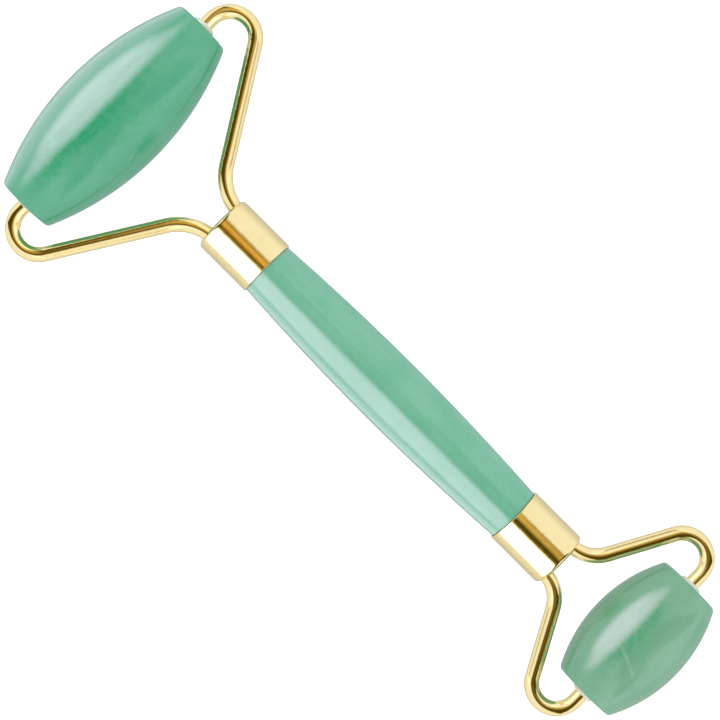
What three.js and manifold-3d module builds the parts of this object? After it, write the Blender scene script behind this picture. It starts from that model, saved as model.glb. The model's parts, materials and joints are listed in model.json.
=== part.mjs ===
// Jade face roller: a turned stone handle with a barrel-shaped stone roller at each end.
// Each roller turns on the two free ends of a bent wire yoke, and each yoke is potted into a metal cup
// on the handle's end.
// Millimetres, +Z up. The tool lies on a table on its two rollers. +X runs along the handle towards the
// large roller, Y runs along both roller axles, and the origin is on the table under the tool's middle.
import * as THREE from "three";
import { mergeVertices } from "three/addons/utils/BufferGeometryUtils.js";
import Module from "manifold-3d";

// ---- Driving dimensions ----
const AXLE_SPACING = 128.9;
const WIRE_RADIUS = 1.3;
const STONE_CORNER = 0.9; // rounding where a barrel meets its flat ends

const HANDLE = {
  radius: 6.18, // at the middle of its visible length
  endRadius: 5.19, // where it meets a cup
  tenonRadius: 4.85,
  tenonLength: 4.8,
  shoulderGap: 0.1, // between the handle's shoulder and the cup's mouth
};
const CUP = { radius: 5.55, length: 11.45, wall: 0.42, endWall: 0.7, corner: 0.8, lip: 0.12 };
const BUSHING = {
  bore: 1.4, // a running fit on the wire
  length: 6.8,
  sleeveRadius: 1.8,
  flangeRadius: 2.2,
  noseRadius: 1.75, // the flange narrows to this at its outer face
  flangeThickness: 0.95,
};
const SEAT = { radius: 2.35, gap: 0.1 }; // counterbore that a bushing's flange sits in
const PRESS_GAP = 0.12; // radial gap between a bushing's sleeve and the stone's bore
const WIRE_GAP = 0.2; // clearance round the wire where it passes through a cup or its adhesive
const FACE_GAP = 0.15; // between the adhesive and the faces that it fills up to

// shift: how far a piece sits towards +Y from the handle's axis. A stone slides on its axle within its
// end float, and the large yoke is set a little off centre in its cup.
// proud: how far each bushing's outer face stands out of the stone's end, on the +Y and -Y sides.
const LARGE_HEAD = {
  name: "large",
  towards: 1,
  cupMouth: 26.8, // distance from the middle between the axles
  stone: { length: 43.7, radius: 10.05, endRadius: 5.3, shift: 0.12 },
  proud: { left: 0.35, right: 0.85 },
  yoke: {
    shift: -0.3,
    bendRadius: 4.55,
    bendCentre: 23.65,
    armAngle: 58.2,
    neckRadius: 9.1,
    neckOffset: 3.15,
  },
};
const SMALL_HEAD = {
  name: "small",
  towards: -1,
  cupMouth: 33.8,
  stone: { length: 26.2, radius: 9.15, endRadius: 5.85, shift: 0.06 },
  proud: { left: 0.65, right: 0.65 },
  yoke: {
    shift: 0,
    bendRadius: 4.35,
    bendCentre: 15.72,
    armAngle: 61.6,
    neckRadius: 6.6,
    neckOffset: 3.3,
  },
};

// ---- Mesh resolution ----
const TURNED_SEGMENTS = 40;
const BUSHING_SEGMENTS = 24;
const WIRE_SIDES = 10;
const WIRE_STEP = 1.3; // length of one straight piece of the swept wire
const CROWN_STEPS = 12;
const FILLET_STEPS = 3;

// ---- Materials ----
const JADE = { color: 0x74bd9c, roughness: 0.22, metalness: 0 };
const GOLD = { color: 0xe6c56c, roughness: 0.15, metalness: 1 };
const NYLON = { color: 0xf1efe9, roughness: 0.45, metalness: 0 };
const EPOXY = { color: 0xd9d2b4, roughness: 0.5, metalness: 0 };

const wasm = await Module();
wasm.setup();

function solidFrom(geometry) {
  const bare = geometry.clone();
  bare.deleteAttribute("normal");
  bare.deleteAttribute("uv");
  const merged = mergeVertices(bare, 1e-4);
  const shape = {
    numProp: 3,
    vertProperties: new Float32Array(merged.attributes.position.array),
    triVerts: new Uint32Array(merged.index.array),
  };
  return new wasm.Manifold(new wasm.Mesh(shape));
}

function geometryFrom(solid) {
  const mesh = solid.getMesh();
  const geometry = new THREE.BufferGeometry();
  geometry.setAttribute("position", new THREE.BufferAttribute(mesh.vertProperties, 3));
  geometry.setIndex(new THREE.BufferAttribute(mesh.triVerts, 1));
  geometry.computeVertexNormals();
  return geometry;
}

function cut(geometry, tool) {
  return geometryFrom(solidFrom(geometry).subtract(solidFrom(tool)));
}

function piece(name, geometry, look) {
  const mesh = new THREE.Mesh(geometry, new THREE.MeshStandardMaterial(look));
  mesh.name = name;
  return mesh;
}

// Points on an arc of a turning profile, where x is the radius and y the place along the axis.
function arc(centreX, centreY, radius, from, to, steps) {
  const points = [];
  for (let i = 0; i <= steps; i++) {
    const a = from + ((to - from) * i) / steps;
    points.push(new THREE.Vector2(centreX + radius * Math.cos(a), centreY + radius * Math.sin(a)));
  }
  return points;
}

function crownRadius(halfLength, rise) {
  return (halfLength * halfLength + rise * rise) / (2 * rise);
}

// A barrel's outside from one flat end to the other: a crown with a fillet at each end.
function barrelOutside(length, radius, endRadius) {
  const half = length / 2;
  const crown = crownRadius(half, radius - endRadius);
  const centre = radius - crown;
  const filletY = half - STONE_CORNER;
  const reach = crown - STONE_CORNER;
  const filletX = centre + Math.sqrt(reach * reach - filletY * filletY);
  const turn = Math.asin(filletY / reach);
  const right = Math.PI / 2;
  return [
    ...arc(filletX, -filletY, STONE_CORNER, -right, -turn, FILLET_STEPS),
    ...arc(centre, 0, crown, -turn, turn, CROWN_STEPS).slice(1, -1),
    ...arc(filletX, filletY, STONE_CORNER, turn, right, FILLET_STEPS),
  ];
}

// A stone barrel along Y, with a bore right through and a shallow seat for a flange at each end.
// upper and lower say how far the flanges at its +Y and -Y ends stand out of it.
function rollerStone({ length, radius, endRadius }, upper, lower) {
  const half = length / 2;
  const bore = BUSHING.sleeveRadius + PRESS_GAP;
  const hidden = BUSHING.flangeThickness + SEAT.gap;
  const upperFloor = half + upper - hidden;
  const lowerFloor = -half - lower + hidden;
  const profile = [
    ...barrelOutside(length, radius, endRadius),
    new THREE.Vector2(SEAT.radius, half),
    new THREE.Vector2(SEAT.radius, upperFloor),
    new THREE.Vector2(bore, upperFloor),
    new THREE.Vector2(bore, lowerFloor),
    new THREE.Vector2(SEAT.radius, lowerFloor),
    new THREE.Vector2(SEAT.radius, -half),
  ];
  profile.push(profile[0].clone());
  return new THREE.LatheGeometry(profile, TURNED_SEGMENTS);
}

// A flanged bushing along Y: y = 0 is the flange's outer face and the sleeve runs towards -Y.
function bushing() {
  const { bore, length, sleeveRadius, flangeRadius, noseRadius, flangeThickness } = BUSHING;
  const profile = [
    new THREE.Vector2(bore, 0),
    new THREE.Vector2(bore, -length),
    new THREE.Vector2(sleeveRadius, -length),
    new THREE.Vector2(sleeveRadius, -flangeThickness),
    new THREE.Vector2(flangeRadius, -flangeThickness),
    new THREE.Vector2(flangeRadius, -flangeThickness / 2),
    new THREE.Vector2(noseRadius, 0),
    new THREE.Vector2(bore, 0),
  ];
  return new THREE.LatheGeometry(profile, BUSHING_SEGMENTS);
}

// The handle along Y: its crowned stretch between the shoulders, and a reduced tenon at each end.
function handle(length) {
  const { radius, endRadius, tenonRadius, tenonLength, shoulderGap } = HANDLE;
  const half = length / 2 - shoulderGap;
  const end = length / 2 + tenonLength;
  const crown = crownRadius(half, radius - endRadius);
  const turn = Math.asin(half / crown);
  const chamfer = 0.3;
  const profile = [
    new THREE.Vector2(0, -end),
    new THREE.Vector2(tenonRadius - chamfer, -end),
    new THREE.Vector2(tenonRadius, -end + chamfer),
    new THREE.Vector2(tenonRadius, -half),
    ...arc(radius - crown, 0, crown, -turn, turn, CROWN_STEPS),
    new THREE.Vector2(tenonRadius, half),
    new THREE.Vector2(tenonRadius, end - chamfer),
    new THREE.Vector2(tenonRadius - chamfer, end),
    new THREE.Vector2(0, end),
  ];
  return new THREE.LatheGeometry(profile, TURNED_SEGMENTS);
}

// A drawn cup along Y: its mouth at y = 0 and its closed end at y = length.
function cup() {
  const { radius, length, wall, endWall, corner, lip } = CUP;
  const inner = radius - wall;
  const profile = [
    new THREE.Vector2(0, length - endWall),
    new THREE.Vector2(inner - lip, length - endWall),
    new THREE.Vector2(inner, length - endWall - lip),
    new THREE.Vector2(inner, 0),
    new THREE.Vector2(radius - lip, 0),
    new THREE.Vector2(radius, lip),
    ...arc(radius - corner, length - corner, corner, 0, Math.PI / 2, FILLET_STEPS),
    new THREE.Vector2(0, length),
  ];
  return new THREE.LatheGeometry(profile, TURNED_SEGMENTS);
}

// The adhesive that fills a cup between its end wall and the handle's tenon.
function adhesive() {
  const radius = CUP.radius - CUP.wall - FACE_GAP;
  const bottom = HANDLE.tenonLength + FACE_GAP;
  const top = CUP.length - CUP.endWall - FACE_GAP;
  const profile = [
    new THREE.Vector2(0, bottom),
    new THREE.Vector2(radius, bottom),
    new THREE.Vector2(radius, top - CUP.lip),
    new THREE.Vector2(radius - CUP.lip, top),
    new THREE.Vector2(0, top),
  ];
  return new THREE.LatheGeometry(profile, TURNED_SEGMENTS);
}

// A flat path as a curve in the XY plane.
class FlatCurve extends THREE.Curve {
  constructor(path) {
    super();
    this.path = path;
    this.arcLengthDivisions = 1200;
  }
  getPoint(t, target = new THREE.Vector3()) {
    const point = this.path.getPoint(t);
    return target.set(point.x, point.y, 0);
  }
}

// The yoke's centre line: up one stub axle, round the outer bend, down the slanted arm, through the neck
// bend into the cup, round a closed loop, and the same way out to the other stub axle.
function yokeLine(head) {
  const { bendRadius, bendCentre, armAngle, neckRadius, neckOffset } = head.yoke;
  const axleX = AXLE_SPACING / 2;
  const tip = head.stone.length / 2 - BUSHING.length;
  const lean = THREE.MathUtils.degToRad(armAngle);
  const right = Math.PI / 2;
  const bendX = axleX - bendRadius;
  const armEndX = bendX - bendRadius * Math.sin(lean);
  const armEndY = bendCentre + bendRadius * Math.cos(lean);
  const cornerX = armEndX - (armEndY - neckOffset) / Math.tan(lean);
  const neckX = cornerX - neckRadius * Math.tan(lean / 2);
  const neckY = neckOffset + neckRadius;
  const path = new THREE.Path();
  path.moveTo(axleX, tip);
  path.lineTo(axleX, bendCentre);
  path.absarc(bendX, bendCentre, bendRadius, 0, right + lean, false);
  path.absarc(neckX, neckY, neckRadius, lean - right, -right, true);
  path.absarc(neckX, 0, neckOffset, right, 3 * right, false);
  path.absarc(neckX, -neckY, neckRadius, right, right - lean, true);
  path.absarc(bendX, -bendCentre, bendRadius, -right - lean, 0, false);
  path.lineTo(axleX, -tip);
  return new FlatCurve(path);
}

function sweep(line, radius) {
  const section = new THREE.Shape(arc(0, 0, radius, 0, 2 * Math.PI, WIRE_SIDES).slice(0, -1));
  const steps = Math.round(line.getLength() / WIRE_STEP);
  return new THREE.ExtrudeGeometry(section, { steps, extrudePath: line });
}

// Turns a piece made along Y so that its +Y end points along +X, with its y = 0 at x.
function alongX(mesh, x) {
  mesh.rotation.z = -Math.PI / 2;
  mesh.position.x = x;
  mesh.updateMatrix();
  return mesh;
}

// One end of the tool in a frame where the head points along +X.
function makeHead(head) {
  const { name, towards, stone, proud, cupMouth } = head;
  const group = new THREE.Group();
  const line = yokeLine(head);
  const yokeY = towards * head.yoke.shift;
  const yoke = piece(`${name}_yoke`, sweep(line, WIRE_RADIUS), GOLD);
  yoke.position.y = yokeY;
  group.add(yoke);

  // The wire's clearance, carried into the frame in which the cup and its adhesive are made.
  const clearance = sweep(line, WIRE_RADIUS + WIRE_GAP).translate(0, yokeY, 0);
  clearance.applyMatrix4(alongX(new THREE.Object3D(), cupMouth).matrix.invert());
  group.add(alongX(piece(`${name}_ferrule`, cut(cup(), clearance), GOLD), cupMouth));
  group.add(alongX(piece(`${name}_ferrule_adhesive`, cut(adhesive(), clearance), EPOXY), cupMouth));

  const roller = new THREE.Group();
  roller.position.set(AXLE_SPACING / 2, towards * stone.shift, 0);
  const [upper, lower] = towards > 0 ? [proud.left, proud.right] : [proud.right, proud.left];
  roller.add(piece(`${name}_roller_stone`, rollerStone(stone, upper, lower), JADE));
  for (const [side, way] of [["left", towards], ["right", -towards]]) {
    const made = piece(`${name}_roller_bushing_${side}`, bushing(), NYLON);
    made.position.y = way * (stone.length / 2 + proud[side]);
    made.rotation.z = way > 0 ? 0 : Math.PI;
    roller.add(made);
  }
  group.add(roller);
  group.rotation.z = towards > 0 ? 0 : Math.PI;
  return group;
}

// ---- Assembly, in a frame whose XY plane holds both axles and the handle's axis ----
const tool = new THREE.Group();
const grip = piece("handle_stone", handle(LARGE_HEAD.cupMouth + SMALL_HEAD.cupMouth), JADE);
tool.add(alongX(grip, (LARGE_HEAD.cupMouth - SMALL_HEAD.cupMouth) / 2));
tool.add(makeHead(LARGE_HEAD));
tool.add(makeHead(SMALL_HEAD));

// The larger roller lifts its own end, so the tool leans a little where it lies.
const largeRadius = LARGE_HEAD.stone.radius;
const smallRadius = SMALL_HEAD.stone.radius;
tool.rotation.y = -Math.asin((largeRadius - smallRadius) / AXLE_SPACING);
tool.position.set((smallRadius - largeRadius) / 2, 0, (largeRadius + smallRadius) / 2);

const group = new THREE.Group();
group.add(tool);

export default group;
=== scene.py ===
import json
import math

import bmesh
import bpy
from mathutils import Matrix, Vector

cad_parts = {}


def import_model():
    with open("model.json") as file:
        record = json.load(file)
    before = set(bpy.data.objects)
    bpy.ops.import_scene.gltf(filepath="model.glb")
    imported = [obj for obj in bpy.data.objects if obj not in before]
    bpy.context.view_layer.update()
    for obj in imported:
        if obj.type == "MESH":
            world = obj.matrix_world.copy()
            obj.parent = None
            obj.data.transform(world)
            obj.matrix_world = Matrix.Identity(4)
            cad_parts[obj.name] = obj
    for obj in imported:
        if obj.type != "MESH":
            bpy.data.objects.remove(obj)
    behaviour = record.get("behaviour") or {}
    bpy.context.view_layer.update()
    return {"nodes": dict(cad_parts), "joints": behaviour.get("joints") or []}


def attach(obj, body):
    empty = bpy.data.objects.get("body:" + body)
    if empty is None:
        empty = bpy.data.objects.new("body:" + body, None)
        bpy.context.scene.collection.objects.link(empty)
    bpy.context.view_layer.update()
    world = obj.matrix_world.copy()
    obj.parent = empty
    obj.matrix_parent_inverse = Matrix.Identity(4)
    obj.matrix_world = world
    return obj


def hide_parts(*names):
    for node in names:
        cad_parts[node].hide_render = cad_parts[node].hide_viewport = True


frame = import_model()

# ---- Shape details, in millimetres. Overall sizes and places are read from the CAD nodes. ----
MM = 0.001
STONE_CORNER = 0.9  # rounding where a barrel meets its flat ends
STONE_END_RADIUS = {"large": 5.3, "small": 5.85}
HANDLE = {
    "end_radius": 5.19,
    "tenon_radius": 4.85,
    "tenon_length": 4.8,
    "tenon_round": 0.3,
    "shoulder_gap": 0.1,
}
CUP = {
    "wall": 0.42,
    "end_wall": 0.7,
    "corner": 0.8,
    "lip": 0.2,
    "inner_corner": 0.3,
    "inner_lip": 0.16,
}
BUSHING = {
    "bore": 1.4,
    "sleeve": 1.8,
    "nose": 1.75,
    "flange": 0.95,
    "round": 0.12,
    "crease": 0.05,
}
SEAT = {"radius": 2.35, "gap": 0.1, "round": 0.25}
SLEEVE_GAP = 0.12  # between a bushing's sleeve and the stone's bore
HOLE_GAP = 0.06  # between a cup's hole and the wire
YOKE = {
    "large": {"bend_radius": 4.55, "arm_angle": 58.2, "neck_radius": 9.1, "neck_offset": 3.15},
    "small": {"bend_radius": 4.35, "arm_angle": 61.6, "neck_radius": 6.6, "neck_offset": 3.3},
}
TIP_ROUND = 0.35  # rounding of the wire's cut ends
CAD_WIRE_SIDES = 10  # the CAD wire's section has this many corners, with flats above and below

# ---- Mesh fineness ----
TURNED_SEGMENTS = 192
BUSHING_SEGMENTS = 96
CROWN_STEPS = 96
FILLET_STEPS = 8
SUPPORT = 0.05  # a ring this far beyond each fillet keeps the faces beside it flat
WIRE_SIDES = 48
WIRE_STEP = 0.4
LEAST_ARC_STEPS = 8
SHARP_ANGLE = math.radians(35)
RIGHT_ANGLE = math.pi / 2

# ---- The tool's own frame: +X from the small axle to the large one, Y along the axles ----
axles = {joint["child"].split("_")[0]: Vector(joint["pos_m"]) for joint in frame["joints"]}
along = (axles["large"] - axles["small"]).normalized()
across = Vector((0, 1, 0))
TOOL = Matrix.Translation((axles["large"] + axles["small"]) / 2)
TOOL @= Matrix((along, across, along.cross(across))).transposed().to_4x4()
AXLE_SPACING = (axles["large"] - axles["small"]).length / MM
ALONG_X = Matrix.Rotation(-RIGHT_ANGLE, 4, "Z")  # turns a piece made along Y to point along +X
HALF_TURN = Matrix.Rotation(math.pi, 4, "Z")
TOWARDS = {"large": 1, "small": -1}


def tool_box(node):
    """A CAD node's lowest and highest corners in the tool's frame, in millimetres."""
    to_tool = TOOL.inverted()
    points = [to_tool @ vertex.co / MM for vertex in frame["nodes"][node].data.vertices]
    return [Vector(pick(p[i] for p in points) for i in range(3)) for pick in (min, max)]


def at(x, y, turn=Matrix.Identity(4)):
    """The place of a piece made round its own origin, put at x, y in the tool's frame."""
    return TOOL @ Matrix.Translation((x * MM, y * MM, 0)) @ turn


# ---- Outlines and meshes ----
def arc(centre_x, centre_y, radius, start, end, steps):
    angles = [start + (end - start) * i / steps for i in range(steps + 1)]
    return [(centre_x + radius * math.cos(a), centre_y + radius * math.sin(a)) for a in angles]


def fillet(before, here, after, radius):
    """The points that round one corner of an outline, with a supporting point at each side."""
    back = (before - here).normalized()
    on = (after - here).normalized()
    half = back.angle(on) / 2
    reach = radius / math.tan(half)
    centre = here + (back + on).normalized() * (radius / math.sin(half))
    start = here + back * reach - centre
    end = here + on * reach - centre
    sweep = start.angle(end)
    points = [here + back * (reach + SUPPORT)]
    for step in range(FILLET_STEPS + 1):
        share = step / FILLET_STEPS
        turned = start * math.sin((1 - share) * sweep) + end * math.sin(share * sweep)
        points.append(centre + turned / math.sin(sweep))
    points.append(here + on * (reach + SUPPORT))
    return [tuple(point) for point in points]


def rounded(corners):
    """An outline of (radius, place) points, from (radius, place, rounding) corners."""
    points = []
    for i, (x, y, radius) in enumerate(corners):
        if radius == 0:
            points.append((x, y))
            continue
        before = Vector(corners[i - 1][:2])
        after = Vector(corners[(i + 1) % len(corners)][:2])
        points += fillet(before, Vector((x, y)), after, radius)
    return points


def plain(points):
    return [(x, y, 0) for x, y in points]


def crown_radius(half, rise):
    return (half * half + rise * rise) / (2 * rise)


def object_from(name, mesh):
    bmesh.ops.recalc_face_normals(mesh, faces=mesh.faces)
    data = bpy.data.meshes.new(name)
    mesh.to_mesh(data)
    mesh.free()
    data.shade_smooth()
    data.set_sharp_from_angle(angle=SHARP_ANGLE)
    made = bpy.data.objects.new(name, data)
    bpy.context.scene.collection.objects.link(made)
    return made


def lathe(name, outline, segments=TURNED_SEGMENTS):
    """Turns an outline of (radius, place) points round Y. It starts and ends on the axis, or closes."""
    mesh = bmesh.new()
    turns = [2 * math.pi * i / segments for i in range(segments)]
    rings = []
    for radius, place in outline:
        shown = turns if radius > 0 else turns[:1]
        places = [(radius * math.sin(a) * MM, place * MM, radius * math.cos(a) * MM) for a in shown]
        rings.append([mesh.verts.new(p) for p in places])
    closed = outline[0][0] > 0
    for ring, following in zip(rings, rings[1:] + (rings[:1] if closed else [])):
        for i in range(segments):
            j = (i + 1) % segments
            corners = [ring[i % len(ring)], ring[j % len(ring)]]
            corners += [following[j % len(following)], following[i % len(following)]]
            mesh.faces.new(list(dict.fromkeys(corners)))
    return object_from(name, mesh)


def wire_stations(points, radius):
    """The centre, tangent and radius of each ring of a wire whose two cut ends are rounded."""
    last = len(points) - 1
    stations = []
    for i, point in enumerate(points):
        tangent = (points[min(i + 1, last)] - points[max(i - 1, 0)]).normalized()
        stations.append((point, tangent, radius))
    tips = []
    for end, way in ((0, 1), (-1, -1)):
        point, tangent, _ = stations[end]
        tip = []
        for step in range(1, FILLET_STEPS + 1):
            turn = RIGHT_ANGLE * step / FILLET_STEPS
            inset = TIP_ROUND * (1 - math.sin(RIGHT_ANGLE - turn))
            depth = TIP_ROUND * (1 - math.sin(turn))
            tip.append((point + tangent * way * depth, tangent, radius - inset))
        tips.append(tip)
    first_tip, last_tip = tips
    return first_tip[::-1] + stations[1:-1] + last_tip


def skin_wire(mesh, rings, lengths):
    """Faces along a wire's rings, with the way round it and the length along it as a UV map."""
    uv = mesh.loops.layers.uv.new("wire")
    for i, (ring, following) in enumerate(zip(rings, rings[1:])):
        for k in range(WIRE_SIDES):
            j = (k + 1) % WIRE_SIDES
            face = mesh.faces.new([ring[k], ring[j], following[j], following[k]])
            ends = [(k, i), (k + 1, i), (k + 1, i + 1), (k, i + 1)]
            for loop, (around, station) in zip(face.loops, ends):
                loop[uv].uv = (around / WIRE_SIDES, lengths[station])
    mesh.faces.new(rings[0])
    mesh.faces.new(rings[-1])


def sweep(name, line, radius):
    """A round wire with rounded ends along a flat line of (x, y) points."""
    mesh = bmesh.new()
    stations = wire_stations([Vector((x, y, 0)) for x, y in line], radius)
    turns = [2 * math.pi * i / WIRE_SIDES for i in range(WIRE_SIDES)]
    rings = []
    lengths = []
    walked = 0
    for i, (point, tangent, ring_radius) in enumerate(stations):
        walked += (point - stations[i - 1][0]).length if i else 0
        lengths.append(walked)
        side = Vector((-tangent.y, tangent.x, 0))
        spokes = [side * math.cos(a) + Vector((0, 0, math.sin(a))) for a in turns]
        rings.append([mesh.verts.new((point + spoke * ring_radius) * MM) for spoke in spokes])
    skin_wire(mesh, rings, lengths)
    return object_from(name, mesh)


def cut(piece, cutter):
    """Takes cutter's shape out of piece, and cutter out of the scene."""
    boolean = piece.modifiers.new("cut", "BOOLEAN")
    boolean.operation = "DIFFERENCE"
    boolean.solver = "EXACT"
    boolean.object = cutter
    shown = piece.evaluated_get(bpy.context.evaluated_depsgraph_get())
    data = bpy.data.meshes.new_from_object(shown)
    piece.modifiers.clear()
    piece.data = data
    data.set_sharp_from_angle(angle=SHARP_ANGLE)
    bpy.data.objects.remove(cutter)


# ---- Node trees ----
def add(tree, kind, inputs=(), **settings):
    node = tree.nodes.new("ShaderNode" + kind)
    for name, value in settings.items():
        setattr(node, name, value)
    for socket, value in dict(inputs).items():
        if isinstance(value, bpy.types.NodeSocket):
            tree.links.new(value, node.inputs[socket])
        else:
            node.inputs[socket].default_value = value
    return node


def stretched(tree, source, scale, shift=(0, 0, 0)):
    mapping = add(tree, "Mapping", {"Vector": source, "Location": shift, "Scale": scale})
    return mapping.outputs["Vector"]


def noise(tree, place, scale, detail=3, roughness=0.5, distortion=0):
    inputs = {"Vector": place, "Scale": scale, "Detail": detail, "Roughness": roughness}
    return add(tree, "TexNoise", {**inputs, "Distortion": distortion}).outputs["Fac"]


def ranged(tree, value, low, high, to_low=0, to_high=1, smooth=True):
    """value's range from low to high, carried to the range from to_low to to_high."""
    inputs = {"Value": value, "From Min": low, "From Max": high, "To Min": to_low, "To Max": to_high}
    kind = "SMOOTHSTEP" if smooth else "LINEAR"
    return add(tree, "MapRange", inputs, interpolation_type=kind).outputs["Result"]


def math_node(tree, operation, first, second=0.0):
    return add(tree, "Math", {0: first, 1: second}, operation=operation).outputs["Value"]


def blend_colours(tree, share, first, second):
    return add(tree, "Mix", {0: share, 6: first, 7: second}, data_type="RGBA").outputs[2]


def new_material(name):
    material = bpy.data.materials.new(name)
    material.use_nodes = True
    tree = material.node_tree
    return material, tree, tree.nodes["Principled BSDF"]


def wire_up(tree, shader, links):
    for socket, value in links.items():
        tree.links.new(value, shader.inputs[socket])


def set_up(shader, values):
    for socket, value in values.items():
        shader.inputs[socket].default_value = value


def bump(tree, height, depth, over=None):
    """A bump of the given depth in millimetres, on top of another one where over is given."""
    node = add(tree, "Bump", {"Strength": 1.0, "Distance": depth * MM, "Height": height})
    if over:
        tree.links.new(over, node.inputs["Normal"])
    return node.outputs["Normal"]


def object_place(tree):
    """The place on a piece in millimetres from its own origin."""
    coordinates = add(tree, "TexCoord").outputs["Object"]
    return stretched(tree, coordinates, (1 / MM,) * 3)


# ---- Materials ----
JADE = {  # the pale and the deep tone of each stone's clouds
    "handle": ((0.213, 0.56, 0.412, 1), (0.143, 0.507, 0.344, 1)),
    "large": ((0.112, 0.465, 0.305, 1), (0.075, 0.43, 0.26, 1)),
    "small": ((0.205, 0.465, 0.315, 1), (0.155, 0.43, 0.27, 1)),
}
# The deepest green: the stone's own deeper streaks, and painted shade along the rollers' tops.
JADE_DEEP_AND_SHADE = (0.005, 0.38, 0.17, 1)
JADE_VEIN = (0.45, 0.66, 0.54, 1)
JADE_SEED = {"handle": 3.0, "large": 11.0, "small": 23.0}  # shifts the clouds of each stone
# Deeper patches on the rollers: partly the stone's own deeper streaks, partly painted shade along their
# tops beside the highlights, where the dark gap overhead is reflected.
DEEP_SPOTS_AND_PAINTED_SHADE = {  # centre and half sizes of each deeper patch, partly painted shade, in millimetres, and its strength
    "handle": [],
    "large": [
        ((0.3, 13.0, 8.6), (3.4, 6.8, 7.0), 1.0),
        ((-0.6, 4.0, 9.5), (2.4, 26.0, 7.0), 0.85),
        ((-4.5, -1.0, 8.5), (5.0, 14.0, 8.0), 0.45),
    ],
    "small": [((1.9, 0.0, 9.0), (2.6, 16.0, 6.0), 0.42)],
}
VEINS = {  # normal of each vein's plane, its distance from the middle, half width, and strength
    "handle": [],
    "large": [],
    "small": [((0.371, 0.928, 0.0), 3.65, 0.45, 0.32)],
}
VEIN_WANDER = 0.8  # how far a vein wanders off its plane
VEIN_FADE = (1.5, 4.5)  # a vein fades out between these places along its stone's own X
END_MATT = 1.6  # each stone is less polished over this last stretch before its ends
GOLD_PALE = (0.975, 0.83, 0.455, 1)
GOLD_DEEP = (0.955, 0.79, 0.41, 1)
GOLD_WORN = (0.80, 0.55, 0.24, 1)
NYLON_CREAM = (0.80, 0.77, 0.70, 1)
NYLON_WHITE = (0.88, 0.86, 0.81, 1)
NYLON_DUST = (0.62, 0.60, 0.52, 1)
EPOXY_AMBER = (0.62, 0.52, 0.30, 1)
EPOXY_PALE = (0.72, 0.66, 0.48, 1)


def spot(tree, place, centre, size):
    """1 at centre and 0 beyond an ellipsoid of the given half sizes, in millimetres."""
    shift = tuple(-c / s for c, s in zip(centre, size))
    squeezed = stretched(tree, place, tuple(1 / s for s in size), shift)
    distance = add(tree, "VectorMath", {0: squeezed}, operation="LENGTH").outputs["Value"]
    return ranged(tree, distance, 0, 1, 1, 0)


def vein(tree, place, normal, offset, width):
    """1 on a slightly wavy plane through the stone and 0 beyond width of it."""
    wave = math_node(tree, "MULTIPLY", noise(tree, place, 0.5, 2), VEIN_WANDER)
    off_plane = add(tree, "VectorMath", {0: place, 1: normal}, operation="DOT_PRODUCT")
    level = math_node(tree, "SUBTRACT", off_plane.outputs["Value"], offset + VEIN_WANDER / 2)
    distance = math_node(tree, "ABSOLUTE", math_node(tree, "ADD", level, wave))
    return ranged(tree, distance, 0, width, 1, 0)


def stone_colour(tree, stone, place, seeded):
    """Clouds drawn out along the stone, deeper ragged patches that are partly painted shade along the
    rollers' tops, broken pale veins and fine grain.
    """
    cloud = math_node(tree, "MULTIPLY", noise(tree, seeded, 0.11, 5, 0.55, 0.6), 0.55)
    drawn = stretched(tree, seeded, (1, 0.2, 1))
    streak = math_node(tree, "MULTIPLY", noise(tree, drawn, 0.42, 4, 0.6, 0.4), 0.45)
    amount = ranged(tree, math_node(tree, "ADD", cloud, streak), 0.32, 0.70)
    colour = blend_colours(tree, amount, *JADE[stone])
    # Deeper patches: partly the stone's own streaks, partly painted shade along the rollers' tops
    # beside their highlights.
    for centre, size, strength in DEEP_SPOTS_AND_PAINTED_SHADE[stone]:
        ragged = ranged(tree, noise(tree, seeded, 0.8, 5, 0.65), 0.36, 0.6, 0.35, 1)
        share = math_node(tree, "MULTIPLY", spot(tree, place, centre, size), ragged)
        share = math_node(tree, "MULTIPLY", share, strength)
        colour = blend_colours(tree, share, colour, JADE_DEEP_AND_SHADE)
    for normal, offset, width, strength in VEINS[stone]:
        broken = ranged(tree, noise(tree, seeded, 0.3, 3), 0.38, 0.6)
        share = math_node(tree, "MULTIPLY", vein(tree, place, normal, offset, width), broken)
        share = math_node(tree, "MULTIPLY", share, strength)
        sideways = add(tree, "SeparateXYZ", {0: place}).outputs["X"]
        share = math_node(tree, "MULTIPLY", share, ranged(tree, sideways, *VEIN_FADE, 1, 0))
        colour = blend_colours(tree, share, colour, JADE_VEIN)
    grain = ranged(tree, noise(tree, seeded, 2.6, 4, 0.65), 0.25, 0.75, 0.93, 1.07, smooth=False)
    return add(tree, "HueSaturation", {"Color": colour, "Value": grain}).outputs["Color"]


def jade(stone, half_length):
    """Polished mottled green stone, made round a piece whose axis is its own Y."""
    material, tree, shader = new_material(f"jade_{stone}")
    place = object_place(tree)
    seed = JADE_SEED[stone]
    seeded = stretched(tree, place, (1, 1, 1), (seed, seed * 1.7, -seed))
    polish = ranged(tree, noise(tree, seeded, 0.35, 4), 0.3, 0.7, 0.07, 0.14)
    axis = math_node(tree, "ABSOLUTE", add(tree, "SeparateXYZ", {0: place}).outputs["Y"])
    matt = ranged(tree, axis, half_length - END_MATT, half_length, 0, 0.12)
    pits = bump(tree, noise(tree, seeded, 3.5, 3, 0.6), 0.0015)
    waves = bump(tree, noise(tree, seeded, 0.16, 2), 0.03, pits)
    wire_up(tree, shader, {
        "Base Color": stone_colour(tree, stone, place, seeded),
        "Roughness": math_node(tree, "ADD", polish, matt),
        "Normal": waves,
    })
    set_up(shader, {
        "IOR": 1.6,
        "Subsurface Weight": 0.35,
        "Subsurface Radius": (0.35, 1.0, 0.6),
        "Subsurface Scale": 0.0016,
    })
    return material


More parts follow.
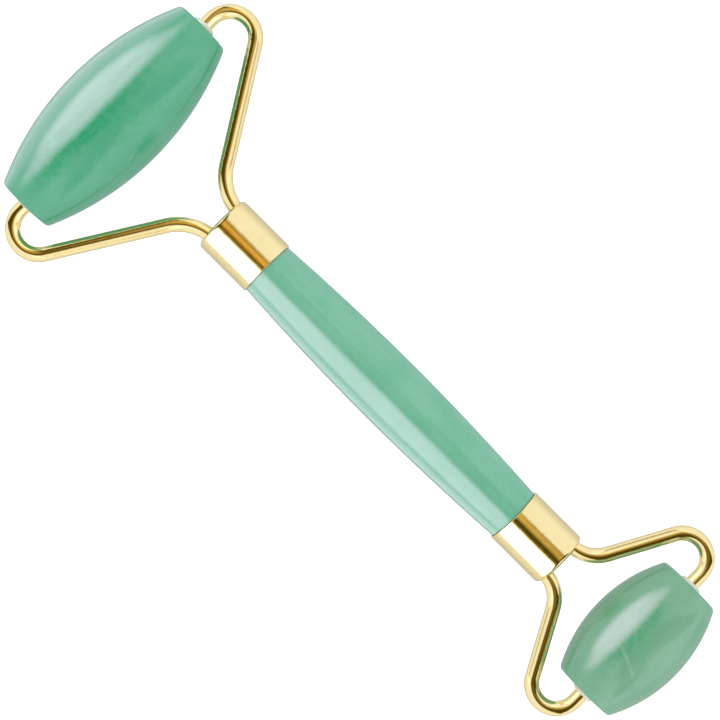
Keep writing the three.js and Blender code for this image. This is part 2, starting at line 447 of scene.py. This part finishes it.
def gold(name, lines_along_wire):
    """Polished gold plating: drawn along the wire's length on a yoke, or spun on a cup."""
    material, tree, shader = new_material(name)
    place = object_place(tree)
    smudge = noise(tree, place, 0.35, 5, 0.6, 0.5)
    if lines_along_wire:
        uv = add(tree, "UVMap", uv_map="wire").outputs["UV"]
        lines = noise(tree, stretched(tree, uv, (60, 0.5, 1)), 1, 3)
        relief = bump(tree, lines, 0.003)
        wave = bump(tree, noise(tree, place, 0.5, 2), 0.02, relief)
    else:
        lines = noise(tree, stretched(tree, place, (0.4, 9, 0.4)), 1, 3)
        relief = bump(tree, lines, 0.0015)
        wave = bump(tree, noise(tree, place, 0.6, 3), 0.018, relief)
    tone = ranged(tree, smudge, 0.35, 0.7)
    colour = blend_colours(tree, tone, GOLD_PALE, GOLD_DEEP)
    wear = ranged(tree, noise(tree, place, 1.3, 6, 0.7), 0.66, 0.74, 0, 0.5)
    colour = blend_colours(tree, wear, colour, GOLD_WORN)
    wire_up(tree, shader, {
        "Base Color": colour,
        "Roughness": ranged(tree, smudge, 0.3, 0.75, 0.05, 0.13),
        "Normal": wave,
    })
    set_up(shader, {"Metallic": 1.0})
    return material


def nylon():
    """Moulded white nylon with a satin skin."""
    material, tree, shader = new_material("white_nylon")
    place = object_place(tree)
    cloud = ranged(tree, noise(tree, place, 0.9, 4), 0.3, 0.7)
    colour = blend_colours(tree, cloud, NYLON_CREAM, NYLON_WHITE)
    dust = ranged(tree, noise(tree, place, 3, 5, 0.7), 0.62, 0.75, 0, 0.35)
    colour = blend_colours(tree, dust, colour, NYLON_DUST)
    wire_up(tree, shader, {
        "Base Color": colour,
        "Roughness": ranged(tree, noise(tree, place, 2.2, 3), 0.3, 0.7, 0.38, 0.52),
        "Normal": bump(tree, noise(tree, place, 5, 3), 0.006),
    })
    set_up(shader, {
        "IOR": 1.53,
        "Subsurface Weight": 0.3,
        "Subsurface Radius": (1.0, 0.9, 0.75),
        "Subsurface Scale": 0.0008,
    })
    return material


def epoxy():
    """Cured amber potting adhesive with trapped bubbles."""
    material, tree, shader = new_material("adhesive")
    place = object_place(tree)
    cloud = ranged(tree, noise(tree, place, 0.5, 4), 0.3, 0.7)
    colour = blend_colours(tree, cloud, EPOXY_AMBER, EPOXY_PALE)
    cells = add(tree, "TexVoronoi", {"Vector": place, "Scale": 1.4}).outputs["Distance"]
    bubble = ranged(tree, cells, 0.12, 0.2)
    wire_up(tree, shader, {
        "Base Color": colour,
        "Roughness": ranged(tree, cloud, 0, 1, 0.25, 0.45),
        "Normal": bump(tree, bubble, 0.05),
    })
    set_up(shader, {"IOR": 1.55, "Subsurface Weight": 0.4, "Subsurface Scale": 0.001})
    return material


# ---- Pieces ----
def finish_piece(piece, place, material, body, nodes):
    """Puts a piece in its place, gives it its material and ties it to the frame."""
    piece.matrix_world = place
    piece.data.materials.clear()
    piece.data.materials.append(material)
    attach(piece, body)
    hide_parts(*nodes)
    return piece


def barrel_outside(length, radius, end_radius):
    """A barrel's outline from one flat end to the other: a crown with a fillet at each end."""
    half = length / 2
    crown = crown_radius(half, radius - end_radius)
    centre = radius - crown
    fillet_y = half - STONE_CORNER
    reach = crown - STONE_CORNER
    fillet_x = centre + math.sqrt(reach * reach - fillet_y * fillet_y)
    turn = math.asin(fillet_y / reach)
    lower = arc(fillet_x, -fillet_y, STONE_CORNER, -RIGHT_ANGLE, -turn, FILLET_STEPS)
    upper = arc(fillet_x, fillet_y, STONE_CORNER, turn, RIGHT_ANGLE, FILLET_STEPS)
    middle = arc(centre, 0, crown, -turn, turn, CROWN_STEPS)[1:-1]
    edge = fillet_x - SUPPORT
    return [(edge, -half)] + lower + middle + upper + [(edge, half)]


def roller_stone(head, material):
    node = f"{head}_roller_stone"
    low, high = tool_box(node)
    centre = (low + high) / 2
    length = high.y - low.y
    radius = (high.x - low.x) / 2
    half = length / 2
    floors = []
    for side, way in (("left", 1), ("right", -1)):
        bush_low, bush_high = tool_box(f"{head}_roller_bushing_{side}")
        face = bush_high.y if way > 0 else bush_low.y
        floors.append(face - centre.y - way * (BUSHING["flange"] + SEAT["gap"]))
    upper, lower = floors
    bore = BUSHING["sleeve"] + SLEEVE_GAP
    seat = SEAT["radius"]
    corners = plain(barrel_outside(length, radius, STONE_END_RADIUS[head]))
    corners += [(seat, half, SEAT["round"]), (seat, upper, 0), (bore, upper, 0)]
    corners += [(bore, lower, 0), (seat, lower, 0), (seat, -half, SEAT["round"])]
    piece = lathe(f"{head}_roller_jade", rounded(corners))
    return finish_piece(piece, at(centre.x, centre.y), material, f"{head}_roller", [node])


def roller_bushing(head, side, material):
    """A flanged bushing, made with its outer face at y = 0 and its sleeve towards -Y."""
    node = f"{head}_roller_bushing_{side}"
    low, high = tool_box(node)
    way = 1 if side == "left" else -1
    length = high.y - low.y
    flange_radius = (high.x - low.x) / 2
    bore, sleeve, nose = BUSHING["bore"], BUSHING["sleeve"], BUSHING["nose"]
    flange, edge, crease = BUSHING["flange"], BUSHING["round"], BUSHING["crease"]
    corners = [
        (bore, 0, edge),
        (bore, -length, crease),
        (sleeve, -length, edge),
        (sleeve, -flange, crease),
        (flange_radius, -flange, crease),
        (flange_radius, -flange / 2, edge),
        (nose, 0, edge),
    ]
    piece = lathe(f"{head}_bushing_{side}_nylon", rounded(corners), BUSHING_SEGMENTS)
    face = high.y if way > 0 else low.y
    place = at((low.x + high.x) / 2, face, Matrix.Identity(4) if way > 0 else HALF_TURN)
    return finish_piece(piece, place, material, f"{head}_roller", [node])


def handle_stone(material):
    low, high = tool_box("handle_stone")
    middle = (low.x + high.x) / 2
    end = (high.x - low.x) / 2
    radius = high.y
    shoulder = end - HANDLE["tenon_length"] - HANDLE["shoulder_gap"]
    tenon, edge = HANDLE["tenon_radius"], HANDLE["tenon_round"]
    crown = crown_radius(shoulder, radius - HANDLE["end_radius"])
    turn = math.asin(shoulder / crown)
    corners = [(0, -end, 0), (tenon, -end, edge), (tenon, -shoulder, 0)]
    corners += plain(arc(radius - crown, 0, crown, -turn, turn, CROWN_STEPS))
    corners += [(tenon, shoulder, 0), (tenon, end, edge), (0, end, 0)]
    piece = lathe("handle_jade", rounded(corners))
    return finish_piece(piece, at(middle, 0, ALONG_X), material, "root", ["handle_stone"])


def arc_steps(radius, turn):
    """How many steps an arc of the wire is drawn in."""
    return max(LEAST_ARC_STEPS, round(radius * turn / WIRE_STEP))


def straight(start, end):
    """The points between start and end, about a wire step apart, without the ends."""
    start, end = Vector(start), Vector(end)
    steps = max(2, round((end - start).length / WIRE_STEP))
    return [tuple(start.lerp(end, i / steps)) for i in range(1, steps)]


def yoke_arm(head, reach):
    """The centre line of a yoke's left arm, for a head that points along +X: from its stub axle's tip
    round the outer bend, down the slanted arm and round the neck into the cup. reach is the
    farthest that it comes from the tool's axis."""
    shape = YOKE[head]
    bend_radius = shape["bend_radius"]
    neck_radius = shape["neck_radius"]
    neck_offset = shape["neck_offset"]
    lean = math.radians(shape["arm_angle"])
    bend_turn = RIGHT_ANGLE + lean
    stone_low, stone_high = tool_box(f"{head}_roller_stone")
    bush_low, bush_high = tool_box(f"{head}_roller_bushing_left")
    tip = (AXLE_SPACING / 2, (stone_high.y - stone_low.y) / 2 - (bush_high.y - bush_low.y))
    bend_x = AXLE_SPACING / 2 - bend_radius
    bend_y = reach - bend_radius
    arm_end_x = bend_x - bend_radius * math.sin(lean)
    arm_end_y = bend_y + bend_radius * math.cos(lean)
    corner_x = arm_end_x - (arm_end_y - neck_offset) / math.tan(lean)
    neck_x = corner_x - neck_radius * math.tan(lean / 2)
    neck_y = neck_offset + neck_radius
    bend = arc(bend_x, bend_y, bend_radius, 0, bend_turn, arc_steps(bend_radius, bend_turn))
    neck = arc(neck_x, neck_y, neck_radius, lean - RIGHT_ANGLE, -RIGHT_ANGLE,
               arc_steps(neck_radius, lean))
    line = [tip] + straight(tip, bend[0]) + bend
    return line + straight(bend[-1], neck[0]) + neck


def yoke_line(head):
    """The wire's centre line, for a head that points along +X: in along one arm, round a closed loop
    in the cup and out along the other. With it come the wire's radius and the yoke's place in Y."""
    low, high = tool_box(f"{head}_yoke")
    wire_radius = (high.z - low.z) / 2 / math.cos(math.pi / CAD_WIRE_SIDES)
    arm = yoke_arm(head, (high.y - low.y) / 2 - wire_radius)
    loop_radius = YOKE[head]["neck_offset"]
    loop = arc(arm[-1][0], 0, loop_radius, RIGHT_ANGLE, 3 * RIGHT_ANGLE,
               arc_steps(loop_radius, math.pi))
    line = arm + loop[1:-1] + [(x, -y) for x, y in reversed(arm)]
    return line, wire_radius, (low.y + high.y) / 2


def head_place(head, y):
    return at(0, y, Matrix.Identity(4) if TOWARDS[head] > 0 else HALF_TURN)


def yoke(head, material):
    line, wire_radius, y = yoke_line(head)
    piece = sweep(f"{head}_yoke_wire", line, wire_radius)
    return finish_piece(piece, head_place(head, y), material, "root", [f"{head}_yoke"])


def ferrule(head, material):
    """A drawn cup with its mouth at y = 0 and its closed end, with the wire's two holes, at +Y."""
    node = f"{head}_ferrule"
    low, high = tool_box(node)
    length = high.x - low.x
    radius = high.y
    mouth = low.x if TOWARDS[head] > 0 else high.x
    inner = radius - CUP["wall"]
    bottom = length - CUP["end_wall"]
    corners = [
        (0, bottom, 0),
        (inner, bottom, CUP["inner_corner"]),
        (inner, 0, CUP["inner_lip"]),
        (radius, 0, CUP["lip"]),
        (radius, length, CUP["corner"]),
        (0, length, 0),
    ]
    piece = lathe(f"{head}_ferrule_cup", rounded(corners))
    turn = ALONG_X if TOWARDS[head] > 0 else ALONG_X.inverted()
    piece.matrix_world = at(mouth, 0, turn)
    line, wire_radius, y = yoke_line(head)
    cutter = sweep("cutter", line, wire_radius + HOLE_GAP)
    cutter.matrix_world = head_place(head, y)
    cut(piece, cutter)
    return finish_piece(piece, at(mouth, 0, turn), material, "root", [node])


def half_length(node, axis):
    """Half of a CAD node's length along the tool's X, 0, or Y, 1, in millimetres."""
    low, high = tool_box(node)
    return (high[axis] - low[axis]) / 2


def make_object():
    """Makes every piece. What it returns names the pieces that each light falls on."""
    handle_half = half_length("handle_stone", 0) - HANDLE["tenon_length"]
    handle = handle_stone(jade("handle", handle_half))
    cup_gold = gold("gold_plate", False)
    wire_gold = gold("gold_wire", True)
    white = nylon()
    glue = epoxy()
    stones = {head: jade(head, half_length(f"{head}_roller_stone", 1)) for head in TOWARDS}
    groups = {"handle": [handle]}
    for head in TOWARDS:
        groups[head + "_gold"] = [yoke(head, wire_gold), ferrule(head, cup_gold)]
        adhesive = frame["nodes"][f"{head}_ferrule_adhesive"]
        adhesive.data.materials.clear()
        adhesive.data.materials.append(glue)
        groups[head] = [roller_stone(head, stones[head])]
        groups[head] += [roller_bushing(head, side, white) for side in ("left", "right")]
    return groups


# ---- Studio, in metres ----
CAMERA_HEIGHT = 0.34  # above the axles
VIEW_WIDTH = 0.1256  # what the picture spans at the axles
VIEW_CENTRE = (0.00369, -0.00017)
VIEW_TURN = math.radians(45)
NEAREST_SEEN = 0.01  # from the camera
AXLE_HEIGHT = (axles["large"].z + axles["small"].z) / 2
SOFT_EDGE = 0.3  # the share of a softbox's width over which its brightness fades in
STONE_KEY_TINT = (1.0, 0.74, 0.97)
CUP_GLOW_TINT = {"large": (0.95, 0.42, 0.05), "small": (0.95, 0.68, 0.25)}
YOKE_GLOW_TINT = (0.95, 0.70, 0.22)
WHITE_SKY = (0.98, 0.98, 0.98, 1)
WARM_GAP = (0.44, 0.31, 0.085, 1)
DARK_GAP = (0.075, 0.055, 0.003, 1)
BLACK = (0, 0, 0, 1)
GAP = {  # all but lowest are distances on the sky, seen as a flat ceiling one unit up
    "shift": 0.05,  # the gap's middle lies this far towards -Y
    "widening": 0.6,  # how fast its edges draw apart towards +X and -X
    "edge": (0.17, 0.49),
    "parting": 0.8,  # how fast the part in its middle widens
    "parting_edge": (0.4, 0.75),
    "lowest": (0.15, 0.35),  # it ends between these heights, of a direction of length 1
    "deeper_along": (0.05, 0.45),
    "deeper_across": (-0.02, 0.08),
}
FLOOR_REACH = 3  # from its middle to each side
FLOOR_TONE = 0.6


def camera():
    data = bpy.data.cameras.new("camera")
    data.sensor_fit = "HORIZONTAL"
    data.angle = 2 * math.atan(VIEW_WIDTH / 2 / CAMERA_HEIGHT)
    data.clip_start = NEAREST_SEEN
    made = bpy.data.objects.new("camera", data)
    bpy.context.scene.collection.objects.link(made)
    right = Vector((-math.cos(VIEW_TURN), -math.sin(VIEW_TURN), 0))
    up = Vector((math.sin(VIEW_TURN), -math.cos(VIEW_TURN), 0))
    turn = Matrix((right, up, Vector((0, 0, 1)))).transposed().to_4x4()
    place = Vector((*VIEW_CENTRE, AXLE_HEIGHT + CAMERA_HEIGHT))
    made.matrix_world = Matrix.Translation(place) @ turn
    bpy.context.scene.camera = made


def soft_edged(tree, oval):
    """A softbox's brightness: 1 in its middle and 0 at its edge, whose shape is oval or rectangular."""
    spread = add(tree, "SeparateXYZ", {0: add(tree, "NewGeometry").outputs["Parametric"]})
    sides = [math_node(tree, "SUBTRACT", spread.outputs[axis], 0.5) for axis in ("X", "Y")]
    if oval:
        squares = [math_node(tree, "MULTIPLY", side, side) for side in sides]
        off_centre = math_node(tree, "SQRT", math_node(tree, "ADD", *squares))
        return ranged(tree, math_node(tree, "SUBTRACT", 0.5, off_centre), 0, SOFT_EDGE)
    inward = [math_node(tree, "SUBTRACT", 0.5, math_node(tree, "ABSOLUTE", side)) for side in sides]
    return math_node(tree, "MULTIPLY", *[ranged(tree, share, 0, SOFT_EDGE) for share in inward])


def softbox(name, target, azimuth, tilt, distance, size, radiance, lit,
            tint=(1, 1, 1), oval=False):
    """A soft light that shows only as a reflection, and only in the pieces in lit.
    azimuth is measured from +X towards +Y and tilt from straight overhead, both in degrees.
    size is across and along the tilt."""
    data = bpy.data.lights.new(name, "AREA")
    data.shape = "RECTANGLE"
    data.size, data.size_y = size
    data.energy = radiance * math.pi * size[0] * size[1]
    data.color = tint
    data.use_nodes = True
    tree = data.node_tree
    tree.links.new(soft_edged(tree, oval), tree.nodes["Emission"].inputs["Strength"])
    made = bpy.data.objects.new(name, data)
    bpy.context.scene.collection.objects.link(made)
    a, t = math.radians(azimuth), math.radians(tilt)
    away = Vector((math.cos(a) * math.sin(t), math.sin(a) * math.sin(t), math.cos(t)))
    side = Vector((-math.sin(a), math.cos(a), 0))
    turn = Matrix((side, away.cross(side), away)).transposed().to_4x4()
    made.matrix_world = Matrix.Translation(Vector(target) + away * distance) @ turn
    made.visible_camera = False
    made.visible_diffuse = False
    made.light_linking.receiver_collection = collection(name + "_lit", lit)
    return made


def collection(name, members):
    made = bpy.data.collections.new(name)
    for member in members:
        made.objects.link(member)
    return made


def overhead_gap(tree, direction):
    """1 where the white surroundings have their gap, straight overhead and on towards +X and -X,
    and 0 away from it. Its middle is parted again farther out, where it is widest."""
    height = math_node(tree, "MAXIMUM", direction["Z"], 0.01)
    x = math_node(tree, "ABSOLUTE", math_node(tree, "DIVIDE", direction["X"], height))
    y = math_node(tree, "DIVIDE", direction["Y"], height)
    off_centre = math_node(tree, "ABSOLUTE", math_node(tree, "ADD", y, GAP["shift"]))
    widening = math_node(tree, "MULTIPLY", x, GAP["widening"])
    narrow = ranged(tree, math_node(tree, "SUBTRACT", off_centre, widening), *GAP["edge"], 1, 0)
    parting = math_node(tree, "MULTIPLY", x, GAP["parting"])
    between = math_node(tree, "SUBTRACT", parting, off_centre)
    parted = ranged(tree, between, *GAP["parting_edge"], 1, 0)
    high = ranged(tree, direction["Z"], *GAP["lowest"])
    deeper_along = ranged(tree, x, *GAP["deeper_along"], 0.5, 1, smooth=False)
    deeper_across = ranged(tree, y, *GAP["deeper_across"], 0, 0.45, smooth=False)
    depth = math_node(tree, "MINIMUM", math_node(tree, "ADD", deeper_along, deeper_across), 1)
    gap = math_node(tree, "MULTIPLY", math_node(tree, "MULTIPLY", narrow, high), depth)
    return math_node(tree, "MULTIPLY", gap, parted)


def world():
    """White surroundings, dimmer below, with a warm to dark gap overhead."""
    made = bpy.data.worlds.new("studio")
    bpy.context.scene.world = made
    made.use_nodes = True
    tree = made.node_tree
    direction = add(tree, "SeparateXYZ", {0: add(tree, "TexCoord").outputs["Generated"]}).outputs
    gap = overhead_gap(tree, direction)
    sky = blend_colours(tree, ranged(tree, gap, 0, 0.5, smooth=False), WHITE_SKY, WARM_GAP)
    sky = blend_colours(tree, ranged(tree, gap, 0.5, 1, smooth=False), sky, DARK_GAP)
    below = ranged(tree, direction["Z"], -0.8, 0, 0.36, 0, smooth=False)
    sky = blend_colours(tree, below, sky, BLACK)
    tree.links.new(sky, tree.nodes["Background"].inputs["Color"])


def floor():
    """A wide pale floor, a little uneven in tone, that only the camera sees."""
    mesh = bmesh.new()
    bmesh.ops.create_grid(mesh, x_segments=8, y_segments=8, size=FLOOR_REACH)
    made = object_from("floor", mesh)
    material, tree, shader = new_material("floor_card")
    place = add(tree, "TexCoord").outputs["Object"]
    cloud = ranged(tree, noise(tree, place, 30, 3), 0.3, 0.7)
    tones = [(FLOOR_TONE * share,) * 3 + (1,) for share in (0.985, 1.015)]
    wire_up(tree, shader, {"Base Color": blend_colours(tree, cloud, *tones)})
    set_up(shader, {"Roughness": 0.9, "Specular IOR Level": 0.2})
    made.data.materials.append(material)
    made.visible_diffuse = False
    made.visible_glossy = False
    made.visible_shadow = False
    return made


def stone_lights(groups):
    """The highlights on the handle and the two rollers, and the softer light beside each."""
    middle = Vector((0, 0, AXLE_HEIGHT))
    tint = {"tint": STONE_KEY_TINT}
    handle, large, small = groups["handle"], groups["large"], groups["small"]
    at_large, at_small = axles["large"], axles["small"]
    softbox("key_handle", middle, 90, 56, 0.45, (0.60, 0.80), 4.4, handle, **tint)
    softbox("low_handle", middle, 90, 118, 0.45, (0.60, 0.50), 2.0, handle, **tint)
    softbox("key_large", at_large, 0, 47, 0.30, (0.66, 0.48), 6.3, large, oval=True, **tint)
    softbox("low_large", at_large, 0, 105, 0.30, (0.60, 0.50), 1.5, large, **tint)
    softbox("side_large", at_large, 180, 45, 0.30, (0.80, 0.62), 0.40, large)
    softbox("key_small", at_small, 0, 52, 0.30, (0.65, 0.39), 5.6, small, oval=True, **tint)
    softbox("side_small", at_small, 180, 60, 0.30, (1.40, 0.50), 0.60, small)


def gold_lights(groups):
    """The highlight on both cups, the pale outer sides of the yokes, and warm light on the cups and
    the large yoke."""
    middle = Vector((0, 0, AXLE_HEIGHT))
    large_yoke, large_cup = groups["large_gold"]
    small_yoke, small_cup = groups["small_gold"]
    at_large, at_small = axles["large"], axles["small"]
    softbox("key_cups", middle, 90, 57, 0.45, (0.60, 0.69), 5.0, [large_cup, small_cup])
    softbox("outside_large_yoke", at_large, 180, 38, 0.40, (0.80, 0.56), 0.95, [large_yoke])
    softbox("outside_small_yoke", at_small, 0, 38, 0.40, (0.80, 0.56), 0.95, [small_yoke])
    softbox("glow_large_cup", at_large / 2, 270, 2, 0.50, (0.30, 0.24), 0.35, [large_cup],
            tint=CUP_GLOW_TINT["large"])
    softbox("glow_small_cup", at_small / 2, 270, 12, 0.50, (0.30, 0.18), 0.30, [small_cup],
            tint=CUP_GLOW_TINT["small"])
    softbox("glow_yoke", at_large / 2, 315, 35, 0.50, (0.35, 0.50), 0.5, [large_yoke],
            tint=YOKE_GLOW_TINT)


def plain_lights(groups, ground):
    """Soft overhead light without reflections on every piece, and a bright wash on the floor."""
    middle = Vector((0, 0, AXLE_HEIGHT))
    everything = sum(groups.values(), [])
    fill = softbox("sky_fill", middle, 0, 0, 0.8, (1.6, 1.6), 1.03, everything)
    fill.visible_diffuse = True
    fill.visible_glossy = False
    wash = softbox("floor_wash", middle, 0, 0, 1.5, (14, 14), 3.0, [ground])
    wash.visible_diffuse = True
    wash.light_linking.blocker_collection = collection("floor_wash_blocked_by", [ground])


camera()
groups = make_object()
stone_lights(groups)
gold_lights(groups)
plain_lights(groups, floor())
world()
bpy.context.scene.view_settings.view_transform = "Standard"
